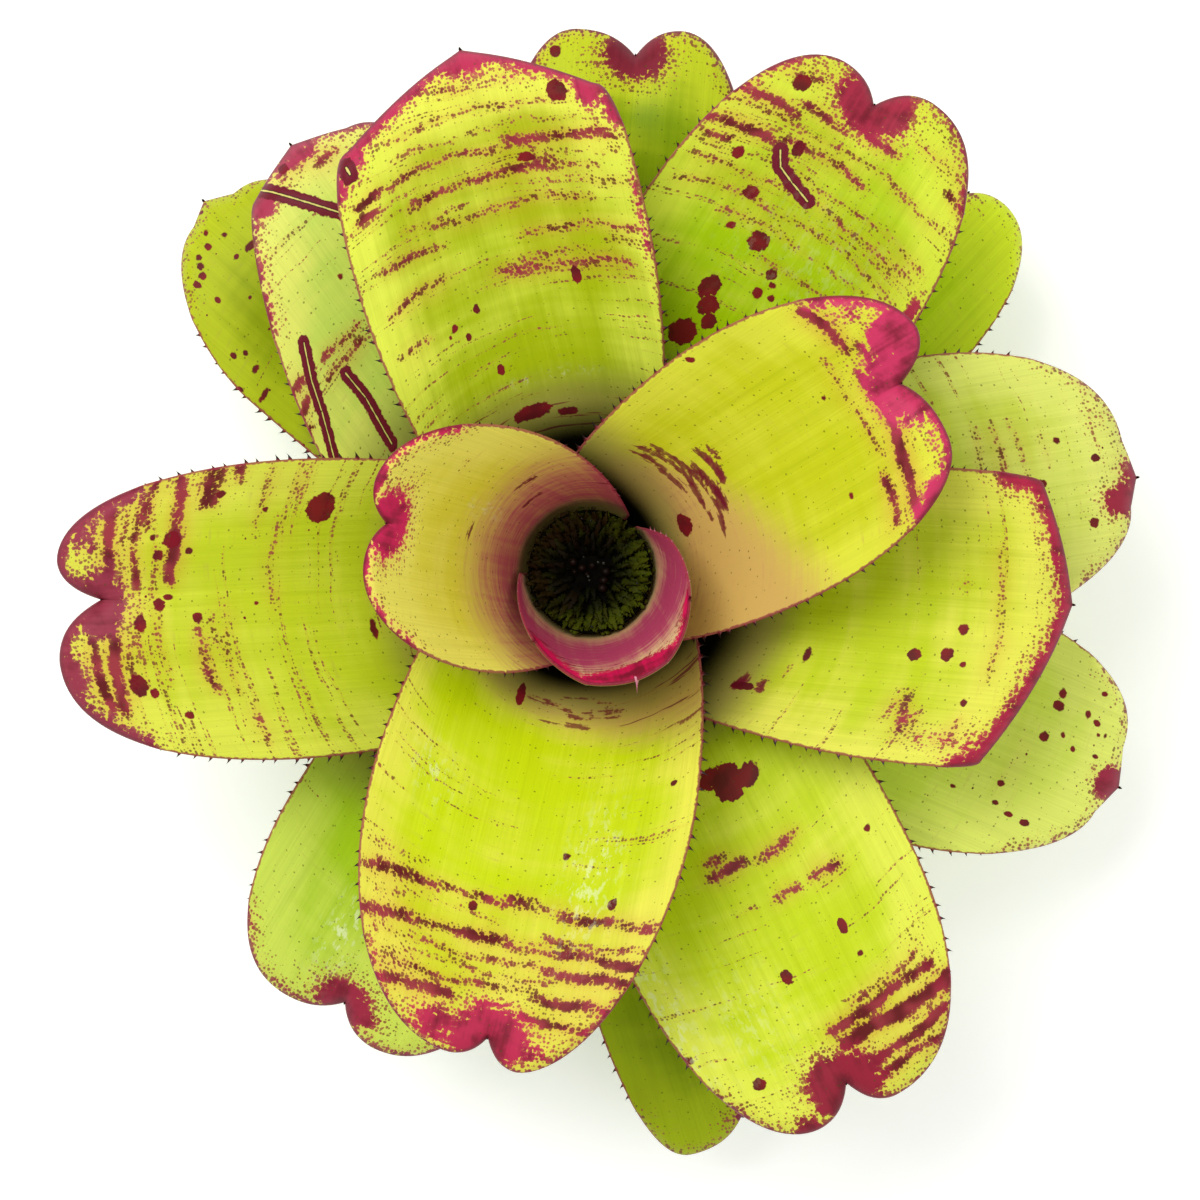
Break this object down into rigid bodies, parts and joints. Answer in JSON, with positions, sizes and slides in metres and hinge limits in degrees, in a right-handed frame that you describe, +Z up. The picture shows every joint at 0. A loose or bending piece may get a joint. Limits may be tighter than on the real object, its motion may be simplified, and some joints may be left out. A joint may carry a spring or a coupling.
{
  "type": "neoregelia bromeliad",
  "caption": "Spiral rosette of broad spiny leaves with notched tips round a sunken flower head, on a short stem cut flat to stand on.",
  "frame": {"origin": "middle of the flat cut foot of the stem, on the surface it stands on", "axes": "+Z up along the stem, +X to the right and +Y away when the rosette is looked down on as its first leaf points down and a little right"},
  "size_m": [0.3731, 0.4006, 0.1542],
  "materials": {
    "leaf_blade": "waxy leaf skin, lime to olive green, with maroon spots and bands and a crimson tip",
    "stem_bark": "dry fibrous stem, matte, with leaf scars",
    "bract": "dark green bracts, damp and finely toothed"
  },
  "bodies": {
    "root": {"leaf_01": "leaf_blade", "leaf_02": "leaf_blade", "leaf_03": "leaf_blade", "leaf_04": "leaf_blade", "leaf_05": "leaf_blade", "leaf_06": "leaf_blade", "leaf_07": "leaf_blade", "leaf_08": "leaf_blade", "leaf_09": "leaf_blade", "leaf_10": "leaf_blade", "leaf_11": "leaf_blade", "leaf_12": "leaf_blade", "leaf_13": "leaf_blade", "leaf_14": "leaf_blade", "leaf_15": "leaf_blade", "leaf_16": "leaf_blade", "leaf_17": "leaf_blade", "stem": "stem_bark", "flower_head": "bract"}
  },
  "joints": []
}
